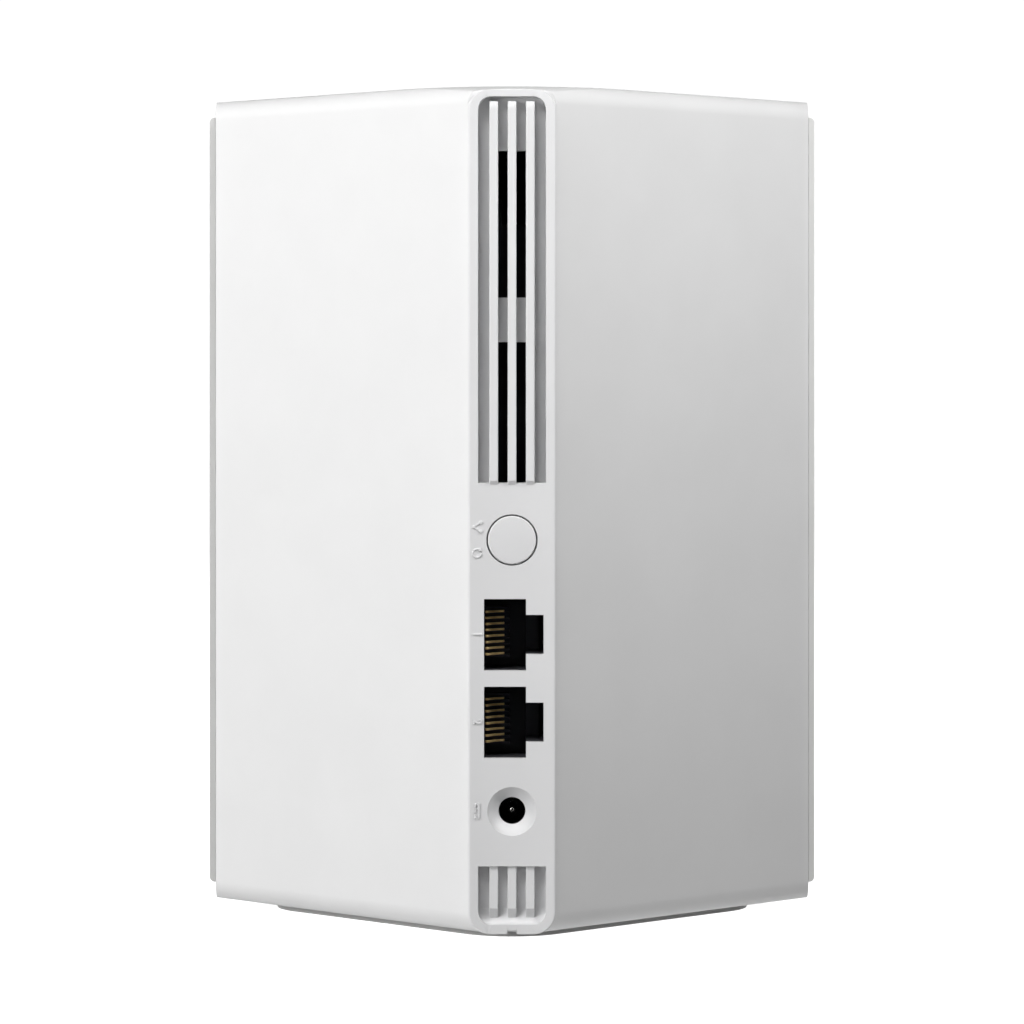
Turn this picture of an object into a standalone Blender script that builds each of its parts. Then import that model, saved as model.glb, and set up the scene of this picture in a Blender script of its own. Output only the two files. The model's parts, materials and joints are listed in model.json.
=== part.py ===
"""Wireless mesh router: a white tower on a diamond footprint, with its sockets in a rear corner strip.

All lengths below are in millimetres and become metres when a mesh is made. The origin is the
middle of the footprint on the surface that the router stands on, +Z is up, and the socket
strip faces -Y. A face of the tower is the set of points where |x| + |y| equals FACE_REACH, so
"reach" is always that sum, and "flat" is the distance of a cut-off corner from the middle.
"""

import math

import bmesh
import bpy
from mathutils import Vector

MM = 0.001
SQRT2 = math.sqrt(2.0)
GAP = 0.3                       # clearance between neighbouring solids

# Outer form
FACE_REACH = 60.0
CORNER_FLAT = 52.55             # seat of the strips on the cut-off front and rear corners
TRIM_FLAT = 53.9                # outer face of the rear strip
TRIM_HALF_WIDTH = FACE_REACH - CORNER_FLAT
SIDE_FLAT = 52.95               # seat of the bars on the cut-off side corners
BAR_FLAT = 54.0                 # outer face of the side bars
BAR_HALF_WIDTH = FACE_REACH - SIDE_FLAT
SHELL_LOW = 1.9
SHELL_HIGH = 144.7
EDGE_ROUND = 3.5                # rounding between the faces and the top or bottom
CORNER_BLEND = 27.0             # plan radius of the top face's front and rear corners
EDGE_STEPS = 5
ARC_STEPS = 8
WALL = 2.0
CAVITY_REACH = FACE_REACH - WALL * SQRT2
CAVITY_FLAT = 50.4
CAVITY_LOW = 4.1
CAVITY_HIGH = SHELL_HIGH - WALL
FLOOR_REACH = 52.0              # opening in the shells' floor for the base cover
FLOOR_FLAT = 49.5

# Trim strips
SLOT_HALF_WIDTH = 6.9           # slot in the shells behind the front and rear strips
SLOT_LOW = SHELL_LOW - 0.15
SLOT_HIGH = 143.0
SLOT_CORNER = 3.3
PLUG_HALF_WIDTH = SLOT_HALF_WIDTH - GAP
STRIP_HIGH = 143.5
STRIP_CORNER = 3.5
PLUG_CORNER = SLOT_CORNER - GAP
PLUG_LOW = SHELL_LOW + GAP
STRIP_BACK = 51.9               # inner face of the thin part of the rear strip
BAR_LOW = 5.2
BAR_HIGH = 141.7
BAR_TONGUE = 1.2                # half width of the rib that locks a side bar in the seam

# Vents in the rear strip
VENT_HALF_WIDTH = 5.7
VENT_CORNER = 2.0
UPPER_VENT = (77.6, 142.4)
LOWER_VENT = (3.5, 13.3)
UPPER_VENT_FLOOR = 50.9
LOWER_VENT_FLOOR = 51.4
VENT_FLOOR_THICKNESS = 1.2
VENT_WINDOWS = ((77.9, 101.2), (108.7, 133.4))
RIB_PITCH = 3.06
RIB_WIDTH = 1.45
RIB_FACE = 54.25                # the ribs stand a little proud of the strip

# Sockets and button, as heights of their middles
PORT_HEIGHTS = (52.2, 37.5)
PLUG_SPACE = (-4.7, 2.35, 5.9)  # left side, right side, half height
LATCH_SPACE = (5.3, 3.25)       # right side, half height
SOCKET_FRONT = 51.6
JACK_HALF_WIDTH = 6.5
JACK_HALF_HEIGHT = 7.1
JACK_BACK = 33.6
JACK_FLOOR = 38.0
CONTACTS = 8
CONTACT_PITCH = 1.02
CONTACT_SIZE = (0.32, 7.0, 0.5)
CONTACT_SLANT = 25.0            # degrees between a contact and the plug's path
POWER_HEIGHT = 22.5
POWER_MOUTH = 4.1
POWER_BORE = 2.3
POWER_PIN = 0.6
BUTTON_HEIGHT = 68.0
BUTTON_RADIUS = 4.0
STEM_MIDDLE = -3.4              # x of the stem and of the switch behind it

# Base
BASE_HIGH = 4.9
PAD_REACH = 47.0
PAD_CORNER = 11.0
BASE_SCREWS = ((26.0, 0.0), (0.0, 26.0), (-26.0, 0.0), (0.0, -26.0))

# Board and what it carries
BOARD_BACK = -8.4
BOARD_FRONT = -6.8
BOARD_HALF_DEPTH = 46.0
BOARD_LOW = 9.0
BOARD_HIGH = 136.0
PART_SEAT = BOARD_FRONT + GAP   # where a part on the board starts
BOARD_SCREWS = ((-30.0, 14.0), (30.0, 14.0), (-38.0, 130.0), (38.0, 130.0))
SPINE_BACK = -12.5
SPINE_FRONT = -10.5
TRAY_LOW = BASE_HIGH + GAP
TRAY_HIGH = 7.2
SINK_FACE = -3.7
SINK_TOP = -1.7
SINK_DEPTH = (-28.0, 30.0)
SINK_HEIGHT = (62.0, 126.0)
FIN_COUNT = 6
FIN_THICKNESS = 1.4
FIN_TOP = 8.0
LED_HEIGHT = 18.0
ANTENNA_SIZE = (10.0, 0.8, 30.0)
ANTENNA_HEIGHT = 112.0
CABLE_RADIUS = 0.55
CABLE_POINTS = 14
CABLE_BULGE = 1.6

ROUND_STEPS = 24


def clear_scene():
    for old in list(bpy.data.objects):
        bpy.data.objects.remove(old, do_unlink=True)


def new_collection(name):
    collection = bpy.data.collections.new(name)
    bpy.context.scene.collection.children.link(collection)
    return collection


def new_material(name, colour, roughness, metallic=0.0):
    material = bpy.data.materials.new(name)
    material.use_nodes = True
    shader = material.node_tree.nodes["Principled BSDF"]
    shader.inputs["Base Color"].default_value = (*colour, 1.0)
    shader.inputs["Roughness"].default_value = roughness
    shader.inputs["Metallic"].default_value = metallic
    return material


clear_scene()
PARTS = new_collection("wireless_router")
CUTTERS = new_collection("cutters")

WHITE_SHELL = new_material("white_shell_plastic", (0.84, 0.84, 0.84), 0.42)
WHITE_STRIP = new_material("white_strip_plastic", (0.74, 0.74, 0.75), 0.38)
GREY_TRIM = new_material("pale_grey_trim", (0.62, 0.62, 0.60), 0.35)
PAD_RUBBER = new_material("grey_rubber", (0.42, 0.42, 0.42), 0.8)
FRAME_PLASTIC = new_material("grey_frame_plastic", (0.12, 0.12, 0.13), 0.6)
SOCKET_PLASTIC = new_material("black_socket_plastic", (0.015, 0.015, 0.017), 0.45)
GOLD = new_material("gold_plating", (0.85, 0.62, 0.25), 0.25, 1.0)
STEEL = new_material("zinc_plated_steel", (0.62, 0.62, 0.64), 0.3, 1.0)
ALUMINIUM = new_material("plain_aluminium", (0.75, 0.75, 0.77), 0.4, 1.0)
LAMINATE = new_material("green_laminate", (0.03, 0.16, 0.07), 0.5)
CHIP_RESIN = new_material("chip_resin", (0.02, 0.02, 0.02), 0.55)
PAD_GEL = new_material("thermal_gel", (0.35, 0.45, 0.6), 0.8)
CABLE_SKIN = new_material("cable_skin", (0.05, 0.05, 0.05), 0.5)
CLEAR_PLASTIC = new_material("clear_plastic", (0.9, 0.92, 0.95), 0.1)


def place(name, bm, middle, material):
    """Turn a bmesh into an object at its middle; without a material it is a cutter."""
    mesh = bpy.data.meshes.new(name)
    bm.to_mesh(mesh)
    bm.free()
    mesh.shade_smooth()
    mesh.set_sharp_from_angle(angle=math.radians(32.0))
    piece = bpy.data.objects.new(name, mesh)
    piece.location = Vector(middle) * MM
    if material:
        mesh.materials.append(material)
        PARTS.objects.link(piece)
    else:
        piece.hide_render = True
        piece.display_type = "WIRE"
        CUTTERS.objects.link(piece)
    return piece


def bevel_edges(bm, direction, offset, segments, keep=lambda middle: True):
    """Bevel the edges that run along a direction and whose middle passes the test."""
    direction = Vector(direction)
    chosen = []
    for edge in bm.edges:
        start, end = (vert.co for vert in edge.verts)
        if (end - start).normalized().cross(direction).length < 0.01 and keep((start + end) / 2):
            chosen.append(edge)
    bmesh.ops.bevel(bm, geom=chosen, offset=offset * MM, segments=segments, profile=0.5,
                    affect="EDGES", clamp_overlap=False)


def box(name, low, high, material=None, bevels=()):
    """A box between two corners; each bevel is direction, offset, segments and a test."""
    low, high = Vector(low), Vector(high)
    bm = bmesh.new()
    bmesh.ops.create_cube(bm, size=MM)
    bmesh.ops.scale(bm, vec=high - low, verts=bm.verts)
    for bevel in bevels:
        bevel_edges(bm, *bevel)
    return place(name, bm, (low + high) / 2, material)


def rod(name, start, end, radius, material=None, end_radius=None, steps=ROUND_STEPS):
    """A cylinder, or a cone when end_radius is given, between two points."""
    start, end = Vector(start), Vector(end)
    run = end - start
    bm = bmesh.new()
    bmesh.ops.create_cone(bm, cap_ends=True, segments=steps, radius1=radius * MM,
                          radius2=(radius if end_radius is None else end_radius) * MM,
                          depth=run.length * MM)
    turn = Vector((0, 0, 1)).rotation_difference(run).to_matrix()
    bmesh.ops.rotate(bm, verts=bm.verts, cent=(0, 0, 0), matrix=turn)
    return place(name, bm, (start + end) / 2, material)


def diamond(name, reach, corner, low, high, material=None, corner_steps=1):
    """A square plate standing on its corner, with its four upright edges cut or rounded."""
    bm = bmesh.new()
    bmesh.ops.create_cone(bm, cap_ends=True, segments=4, radius1=reach * MM, radius2=reach * MM,
                          depth=(high - low) * MM)
    bevel_edges(bm, (0, 0, 1), corner, corner_steps)
    return place(name, bm, (0, 0, (low + high) / 2), material)


def cut_diamond(name, reach, flat, low, high, material=None):
    return diamond(name, reach, (reach - flat) * SQRT2, low, high, material)


def combine(body, operation, *tools):
    for tool in tools:
        modifier = body.modifiers.new(tool.name, "BOOLEAN")
        modifier.operation = operation
        modifier.object = tool


# ------------------------------------------------------------------ shells

def tower_outline(reach, blend):
    """A square on its corner, sharp at the left and right, round at the front and rear."""
    points = []
    for side in (1, -1):
        points.append((side * reach, 0.0))
        for step in range(ARC_STEPS + 1):
            angle = math.radians(45.0 + 90.0 * step / ARC_STEPS)
            points.append((side * blend * math.cos(angle),
                           side * (reach - blend * SQRT2 + blend * math.sin(angle))))
    return points


def tower_block(name, material):
    """The outer form before its corners are cut off: a loft from sharp to blended outlines."""
    least_blend = 1.0
    rings = []
    for step in range(EDGE_STEPS, -1, -1):
        turn = math.radians(90.0 * step / EDGE_STEPS)
        reach = FACE_REACH - EDGE_ROUND * (1 - math.cos(turn)) * SQRT2
        rings.append((SHELL_LOW + EDGE_ROUND * (1 - math.sin(turn)), tower_outline(reach, least_blend)))
    for step in range(EDGE_STEPS + 1):
        turn = math.radians(90.0 * step / EDGE_STEPS)
        reach = FACE_REACH - EDGE_ROUND * (1 - math.cos(turn)) * SQRT2
        blend = least_blend + (CORNER_BLEND - least_blend) * math.sin(turn) ** 2
        rings.append((SHELL_HIGH - EDGE_ROUND * (1 - math.sin(turn)), tower_outline(reach, blend)))
    bm = bmesh.new()
    levels = []
    for height, outline in rings:
        levels.append([bm.verts.new((x * MM, y * MM, height * MM)) for x, y in outline])
    count = len(levels[0])
    for lower, upper in zip(levels, levels[1:]):
        for i in range(count):
            j = (i + 1) % count
            bm.faces.new((lower[i], lower[j], upper[j], upper[i]))
    bm.faces.new(list(reversed(levels[0])))
    bm.faces.new(levels[-1])
    return place(name, bm, (0, 0, 0), material)


def shell_half(name, side):
    """One half of the casing: side is -1 for the rear and 1 for the front."""
    body = tower_block(name, WHITE_SHELL)
    near, far = sorted((side * GAP / 2, side * CORNER_FLAT))
    combine(body, "INTERSECT", box(name + "_limits", (-SIDE_FLAT, near, -1), (SIDE_FLAT, far, 150)))
    slot_near, slot_far = sorted((side * 45.0, side * 60.0))
    bar_slot = BAR_TONGUE + GAP
    combine(
        body, "DIFFERENCE",
        cut_diamond(name + "_cavity", CAVITY_REACH, CAVITY_FLAT, CAVITY_LOW, CAVITY_HIGH),
        cut_diamond(name + "_floor_opening", FLOOR_REACH, FLOOR_FLAT, 0, CAVITY_LOW + 1),
        box(name + "_strip_slot", (-SLOT_HALF_WIDTH, slot_near, SLOT_LOW),
            (SLOT_HALF_WIDTH, slot_far, SLOT_HIGH), bevels=(((0, 1, 0), SLOT_CORNER, 4),)),
        box(name + "_left_bar_slot", (-56, -bar_slot, 8), (-48, bar_slot, 138)),
        box(name + "_right_bar_slot", (48, -bar_slot, 8), (56, bar_slot, 138)),
    )


def side_bar(name, side):
    """Trim on a side corner: a round-ended face with a tongue that locks in the shells' seam."""
    inner, outer = sorted((side * (SIDE_FLAT + GAP), side * BAR_FLAT))
    is_outer = lambda middle: middle.x * side > 0
    body = box(name, (inner, -BAR_HALF_WIDTH, BAR_LOW), (outer, BAR_HALF_WIDTH, BAR_HIGH), GREY_TRIM,
               bevels=(((0, 0, 1), 0.7, 3, is_outer), ((0, 1, 0), 0.7, 3, is_outer)))
    low, high = sorted((side * (SIDE_FLAT + GAP + 0.2), side * 51.0))
    combine(body, "UNION", box(name + "_tongue", (low, -BAR_TONGUE, 8.3), (high, BAR_TONGUE, 137.7)))


# ------------------------------------------------------------------ front and rear strips

def strip_plate(name, side, outer, material):
    """The visible face of a strip, with round corners and a soft edge."""
    near, far = sorted((side * (CORNER_FLAT + GAP), side * outer))
    return box(name, (-TRIM_HALF_WIDTH, near, SHELL_LOW), (TRIM_HALF_WIDTH, far, STRIP_HIGH), material,
               bevels=(((0, 1, 0), STRIP_CORNER, 4),))


def strip_plug(name, depths, low, high, rounded_ends):
    """A part of a strip that fills the slot in the shells, round at its foot (-1) or its top (1)."""
    at_rounded_end = lambda middle: any(middle.z * end > 0 for end in rounded_ends)
    return box(name, (-PLUG_HALF_WIDTH, depths[0], low), (PLUG_HALF_WIDTH, depths[1], high),
               bevels=(((0, 1, 0), PLUG_CORNER, 4, at_rounded_end),))


def vent_pocket(name, heights, floor, rounded_side):
    """A cutter for a vent pocket, rounded at its top (1) or bottom (-1)."""
    low, high = heights
    return box(name, (-VENT_HALF_WIDTH, -56, low), (VENT_HALF_WIDTH, -floor, high),
               bevels=(((0, 1, 0), VENT_CORNER, 4, lambda middle: middle.z * rounded_side > 0),))


def vent_ribs(name, heights, floor):
    low, high = heights
    for number in (-1, 0, 1):
        middle = number * RIB_PITCH
        yield box(f"{name}_{number + 2}", (middle - RIB_WIDTH / 2, -RIB_FACE, low),
                  (middle + RIB_WIDTH / 2, -floor + 0.3, high),
                  bevels=(((1, 0, 0), 0.5, 2, lambda place_on_rib: place_on_rib.y < 0),))


def rear_io_panel():
    body = strip_plate("rear_io_panel", -1, TRIM_FLAT, WHITE_STRIP)
    backing = UPPER_VENT_FLOOR - VENT_FLOOR_THICKNESS
    combine(
        body, "UNION",
        strip_plug("lower_vent_back", (-53.2, -50.2), PLUG_LOW, 14.5, (-1,)),
        box("panel_plug", (-PLUG_HALF_WIDTH, -53.2, 14), (PLUG_HALF_WIDTH, -STRIP_BACK, 77)),
        strip_plug("upper_vent_back", (-53.2, -backing), 76.5, SLOT_HIGH - GAP, (1,)),
    )
    combine(
        body, "DIFFERENCE",
        vent_pocket("upper_vent_pocket", UPPER_VENT, UPPER_VENT_FLOOR, 1),
        vent_pocket("lower_vent_pocket", LOWER_VENT, LOWER_VENT_FLOOR, -1),
    )
    combine(body, "UNION", *vent_ribs("upper_rib", (77.3, 141.6), UPPER_VENT_FLOOR))
    combine(body, "UNION", *vent_ribs("lower_rib", (4.6, 13.7), LOWER_VENT_FLOOR))
    windows = []
    slot = (RIB_WIDTH / 2 + 0.05, RIB_PITCH - RIB_WIDTH / 2 - 0.05)
    for row, (low, high) in enumerate(VENT_WINDOWS):
        windows.append(box(f"vent_window_{row}_left", (-slot[1], -52, low), (-slot[0], -48, high)))
        windows.append(box(f"vent_window_{row}_right", (slot[0], -52, low), (slot[1], -48, high)))
    combine(body, "DIFFERENCE", *windows)
    for number, height in enumerate(PORT_HEIGHTS, 1):
        left, right, half = PLUG_SPACE
        latch, latch_half = LATCH_SPACE
        combine(
            body, "DIFFERENCE",
            box(f"port_{number}_cutout", (left, -56, height - half), (right, -50, height + half)),
            box(f"port_{number}_latch_cutout", (right - 0.5, -56, height - latch_half),
                (latch, -50, height + latch_half)),
        )
    combine(
        body, "DIFFERENCE",
        rod("button_hole", (0, -56, BUTTON_HEIGHT), (0, -50, BUTTON_HEIGHT), BUTTON_RADIUS + GAP),
        rod("power_cone", (0, -TRIM_FLAT - 0.1, POWER_HEIGHT), (0, -STRIP_BACK + 0.1, POWER_HEIGHT),
            POWER_MOUTH + 0.1, end_radius=POWER_BORE - 0.1),
        box("pry_notch", (-0.77, -56, 1), (0.77, -53.1, 2.6)),
    )


def front_trim_strip():
    body = strip_plate("front_trim_strip", 1, RIB_FACE, WHITE_STRIP)
    combine(body, "UNION", strip_plug("front_plug", (50.2, 53.2), PLUG_LOW, SLOT_HIGH - GAP, (-1, 1)))
    combine(body, "DIFFERENCE", rod("light_hole", (0, 48, LED_HEIGHT), (0, 56, LED_HEIGHT), 1.8))


# ------------------------------------------------------------------ base

def base_cover():
    body = cut_diamond("base_cover", 51.5, 49.0, SHELL_LOW, BASE_HIGH, FRAME_PLASTIC)
    tongue = PLUG_HALF_WIDTH - 0.4
    combine(
        body, "UNION",
        cut_diamond("base_flange", 56.4, 50.0, CAVITY_LOW + GAP, BASE_HIGH),
        box("base_tongue", (-tongue, -49.9, SHELL_LOW), (tongue, 49.9, BASE_HIGH),
            bevels=(((0, 1, 0), 2.9, 4, lambda middle: middle.z < 0),)),
    )
    for number, (x, y) in enumerate(BASE_SCREWS, 1):
        combine(
            body, "DIFFERENCE",
            rod(f"base_recess_{number}", (x, y, 1), (x, y, 3.7), 3.4),
            rod(f"base_hole_{number}", (x, y, 1), (x, y, 6), 1.6),
        )


def foot_pad():
    diamond("foot_pad", PAD_REACH, PAD_CORNER, 0, SHELL_LOW - GAP, PAD_RUBBER, corner_steps=5)


def screw(name, head_start, head_end, tip, head_radius, shank_radius):
    body = rod(name, head_start, head_end, head_radius, STEEL, steps=16)
    start = Vector(head_start).lerp(Vector(head_end), 0.5)
    combine(body, "UNION", rod(name + "_shank", start, tip, shank_radius, steps=16))


def base_screws():
    for number, (x, y) in enumerate(BASE_SCREWS, 1):
        screw(f"base_screw_{number}", (x, y, 2.0), (x, y, 3.4), (x, y, 11.0), 3.0, 1.2)


# ------------------------------------------------------------------ chassis and board

def inner_chassis():
    body = cut_diamond("inner_chassis", 55.0, 48.0, TRAY_LOW, TRAY_HIGH, FRAME_PLASTIC)
    combine(
        body, "UNION",
        box("chassis_spine", (SPINE_BACK, -34, TRAY_LOW + 0.5), (SPINE_FRONT, 34, 130.0)),
        box("chassis_crossbar", (SPINE_BACK, -41, 125.0), (SPINE_FRONT, 41, 134.0)),
    )
    for number, (x, y) in enumerate(BASE_SCREWS, 1):
        combine(body, "UNION", rod(f"base_boss_{number}", (x, y, TRAY_LOW + 0.5), (x, y, 12), 4.0))
        combine(body, "DIFFERENCE", rod(f"base_boss_hole_{number}", (x, y, 4), (x, y, 11.5), 1.5))
    for number, (y, z) in enumerate(BOARD_SCREWS, 1):
        combine(body, "UNION", rod(f"board_boss_{number}", (SPINE_FRONT - 0.5, y, z),
                                   (BOARD_BACK - GAP, y, z), 3.2))
        combine(body, "DIFFERENCE", rod(f"board_boss_hole_{number}", (SPINE_BACK - 1, y, z),
                                        (BOARD_BACK, y, z), 1.5))


def main_board():
    body = box("main_board", (BOARD_BACK, -BOARD_HALF_DEPTH, BOARD_LOW),
               (BOARD_FRONT, BOARD_HALF_DEPTH, BOARD_HIGH), LAMINATE, bevels=(((1, 0, 0), 3.0, 3),))
    for number, (y, z) in enumerate(BOARD_SCREWS, 1):
        combine(body, "DIFFERENCE", rod(f"board_hole_{number}", (BOARD_BACK - 1, y, z),
                                        (BOARD_FRONT + 1, y, z), 1.6))


def board_screws():
    for number, (y, z) in enumerate(BOARD_SCREWS, 1):
        screw(f"board_screw_{number}", (PART_SEAT + 1.6, y, z), (PART_SEAT, y, z), (-12.0, y, z), 2.8, 1.15)


def board_parts():
    """Chips, transformers, shield and the cooler over the processor."""
    box("processor_chip", (PART_SEAT, -9, 82), (-5.3, 9, 100), CHIP_RESIN)
    box("thermal_pad", (-5.0, -8, 83), (-4.0, 8, 99), PAD_GEL)
    box("memory_chip", (PART_SEAT, 14, 84), (-5.5, 23, 97), CHIP_RESIN)
    box("flash_chip", (PART_SEAT, -24, 68), (-5.2, -18, 73), CHIP_RESIN)
    for number, height in enumerate(PORT_HEIGHTS, 1):
        low, high = height - 4.5, height + 4.5
        box(f"lan_transformer_{number}", (PART_SEAT, -31, low), (-2.6, -17, high), CHIP_RESIN)
    can = box("shield_can", (PART_SEAT, 10, 22), (-3.5, 40, 52), STEEL)
    combine(can, "DIFFERENCE", box("shield_hollow", (PART_SEAT - 1, 10.6, 22.6), (-4.1, 39.4, 51.4)))


def heat_sink():
    low, high = SINK_DEPTH
    body = box("heat_sink", (SINK_FACE, low, SINK_HEIGHT[0]), (SINK_TOP, high, SINK_HEIGHT[1]), ALUMINIUM)
    for number in range(FIN_COUNT):
        middle = low + (high - low) * (number + 0.5) / FIN_COUNT
        combine(body, "UNION", box(f"sink_fin_{number}", (SINK_TOP - 0.5, middle - FIN_THICKNESS / 2, 66),
                                   (FIN_TOP, middle + FIN_THICKNESS / 2, 122)))
    for number in range(4):
        y = low + 3 if number < 2 else high - 3
        z = SINK_HEIGHT[0] + 3 if number % 2 else SINK_HEIGHT[1] - 3
        combine(body, "UNION", rod(f"sink_foot_{number}", (PART_SEAT, y, z), (SINK_FACE + 0.5, y, z), 1.6))


# ------------------------------------------------------------------ sockets

def ethernet_jack(number, height):
    left, right, half = PLUG_SPACE
    latch, latch_half = LATCH_SPACE
    body = box(f"ethernet_jack_{number}", (-JACK_HALF_WIDTH, -SOCKET_FRONT, height - JACK_HALF_HEIGHT),
               (JACK_HALF_WIDTH, -JACK_BACK, height + JACK_HALF_HEIGHT), SOCKET_PLASTIC)
    combine(
        body, "DIFFERENCE",
        box(f"jack_{number}_plug_space", (left, -56, height - half), (right, -JACK_FLOOR, height + half)),
        box(f"jack_{number}_latch_space", (right - 0.5, -56, height - latch_half),
            (latch, -JACK_FLOOR, height + latch_half)),
    )


def jack_contacts(number, height):
    """Eight slanted springs side by side along the plug's width."""
    for place_in_row in range(CONTACTS):
        z = height + (place_in_row - (CONTACTS - 1) / 2) * CONTACT_PITCH
        bm = bmesh.new()
        bmesh.ops.create_cube(bm, size=MM)
        bmesh.ops.scale(bm, vec=CONTACT_SIZE, verts=bm.verts)
        contact = place(f"port_{number}_contact_{place_in_row + 1}", bm, (-2.7, -46.0, z), GOLD)
        contact.rotation_euler.z = -math.radians(CONTACT_SLANT)


def power_socket():
    z = POWER_HEIGHT
    body = box("dc_jack_body", (-JACK_HALF_WIDTH, -SOCKET_FRONT, z - 5), (4.5, -37.6, z + 5), SOCKET_PLASTIC)
    combine(
        body, "DIFFERENCE",
        rod("power_bore", (0, -53, z), (0, -41.6, z), POWER_BORE),
        rod("pin_hole", (0, -42, z), (0, -36, z), POWER_PIN + GAP, steps=12),
        box("leaf_slot", (1.5, -49.5, z - 1.3), (3.4, -39.5, z + 1.3)),
    )
    pin = rod("dc_jack_pin", (0, -50.2, z), (0, -38.2, z), POWER_PIN, STEEL, steps=16)
    combine(pin, "UNION", rod("pin_tip", (0, -50.6, z), (0, -50.0, z), 0.25, end_radius=0.5, steps=16))
    box("dc_jack_spring", (2.7, -48.9, z - 0.9), (3.05, -39.9, z + 0.9), STEEL)


# ------------------------------------------------------------------ reset button and its switch

def reset_button():
    z = BUTTON_HEIGHT
    body = rod("reset_button", (0, -53.75, z), (0, -51.2, z), BUTTON_RADIUS, WHITE_STRIP, steps=32)
    combine(
        body, "UNION",
        rod("button_flange", (0, -STRIP_BACK + GAP, z), (0, -50.8, z), 5.2, steps=32),
        box("button_stem", (STEM_MIDDLE - 1.1, -51.2, z - 1.3), (STEM_MIDDLE + 1.1, -48.6, z + 1.3)),
    )


def reset_switch():
    z = BUTTON_HEIGHT
    body = box("reset_switch_body", (PART_SEAT, -46.0, z - 3.1), (-0.3, -41.0, z + 3.1), SOCKET_PLASTIC)
    combine(body, "DIFFERENCE", rod("switch_bore", (STEM_MIDDLE, -47, z), (STEM_MIDDLE, -43.8, z), 1.3))
    rod("reset_switch_plunger", (STEM_MIDDLE, -48.3, z), (STEM_MIDDLE, -44.8, z), 1.0, FRAME_PLASTIC)


# ------------------------------------------------------------------ status light

def status_light():
    z = LED_HEIGHT
    box("status_led", (PART_SEAT, 43.4, z - 1.2), (-4.9, 46.0, z + 1.2), CLEAR_PLASTIC)
    body = box("light_pipe", (-6.2, 46.3, z - 1.4), (1.4, 49.8, z + 1.4), CLEAR_PLASTIC)
    combine(body, "UNION", rod("light_pipe_end", (0, 48.5, z), (0, RIB_FACE - 0.1, z), 1.5))


# ------------------------------------------------------------------ antennas

def antenna(number, side_x, side_y):
    """A strip antenna on the inner side of a face, and the coaxial cable from it to the board."""
    width, thickness, height = ANTENNA_SIZE
    offset = CAVITY_REACH / SQRT2 - GAP - thickness / 2
    middle = Vector((side_x, side_y, 0.0)) * (offset / SQRT2) + Vector((0, 0, ANTENNA_HEIGHT))
    bm = bmesh.new()
    bmesh.ops.create_cube(bm, size=MM)
    bmesh.ops.scale(bm, vec=ANTENNA_SIZE, verts=bm.verts)
    plate = place(f"antenna_{number}", bm, middle, LAMINATE)
    plate.rotation_euler.z = math.radians(-45.0 * side_x * side_y)

    inward = thickness / 2 + GAP + CABLE_RADIUS
    start = middle - Vector((side_x, side_y, 0.0)) * (inward / SQRT2) - Vector((0, 0, height / 4))
    seat = BOARD_FRONT if side_x > 0 else BOARD_BACK
    end = Vector((seat + side_x * (GAP + CABLE_RADIUS), side_y * 44.0, start.z))
    bulge = Vector((-side_x, -side_y, 0.0)) * CABLE_BULGE
    curve = bpy.data.curves.new(f"antenna_cable_{number}", "CURVE")
    curve.dimensions = "3D"
    curve.bevel_depth = CABLE_RADIUS * MM
    curve.bevel_resolution = 2
    curve.use_fill_caps = True
    spline = curve.splines.new("POLY")
    spline.points.add(CABLE_POINTS - 1)
    for i, point in enumerate(spline.points):
        t = i / (CABLE_POINTS - 1)
        where = start.lerp(end, t) + bulge * (4 * t * (1 - t))
        point.co = (*(where * MM), 1.0)
    cable = bpy.data.objects.new(f"antenna_cable_{number}", curve)
    curve.materials.append(CABLE_SKIN)
    PARTS.objects.link(cable)


shell_half("rear_shell", -1)
shell_half("front_shell", 1)
side_bar("side_bar_left", -1)
side_bar("side_bar_right", 1)
rear_io_panel()
front_trim_strip()
base_cover()
foot_pad()
base_screws()
inner_chassis()
main_board()
board_screws()
board_parts()
heat_sink()
for port, port_height in enumerate(PORT_HEIGHTS, 1):
    ethernet_jack(port, port_height)
    jack_contacts(port, port_height)
power_socket()
reset_button()
reset_switch()
status_light()
for place_number, (place_x, place_y) in enumerate(((1, 1), (-1, 1), (-1, -1), (1, -1)), 1):
    antenna(place_number, place_x, place_y)
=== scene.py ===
"""Looks of the wireless router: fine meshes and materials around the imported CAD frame.

Lengths in the shape functions are in millimetres, in the CAD's own frame, and become metres when a
mesh is made. The sizes are read from the CAD nodes' boxes, so a piece lies where its node lies.
"""

import json
import math

import bmesh
import bpy
from mathutils import Matrix, Vector

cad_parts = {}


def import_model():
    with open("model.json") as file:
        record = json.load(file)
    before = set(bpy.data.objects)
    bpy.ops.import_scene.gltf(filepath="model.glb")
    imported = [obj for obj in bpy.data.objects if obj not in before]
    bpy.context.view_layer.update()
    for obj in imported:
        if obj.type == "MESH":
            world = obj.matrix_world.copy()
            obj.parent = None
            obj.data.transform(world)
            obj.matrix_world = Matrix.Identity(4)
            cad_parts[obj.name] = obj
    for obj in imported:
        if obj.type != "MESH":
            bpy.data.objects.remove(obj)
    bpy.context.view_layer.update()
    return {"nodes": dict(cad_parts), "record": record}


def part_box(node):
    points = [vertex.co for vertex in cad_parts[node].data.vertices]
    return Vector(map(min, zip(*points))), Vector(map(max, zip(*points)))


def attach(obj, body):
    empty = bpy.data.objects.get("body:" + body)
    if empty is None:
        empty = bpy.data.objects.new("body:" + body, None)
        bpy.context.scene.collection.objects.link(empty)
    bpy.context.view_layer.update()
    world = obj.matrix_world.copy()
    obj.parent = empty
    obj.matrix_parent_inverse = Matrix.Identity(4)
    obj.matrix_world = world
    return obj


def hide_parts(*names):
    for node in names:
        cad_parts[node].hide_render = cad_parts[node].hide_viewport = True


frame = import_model()

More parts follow.
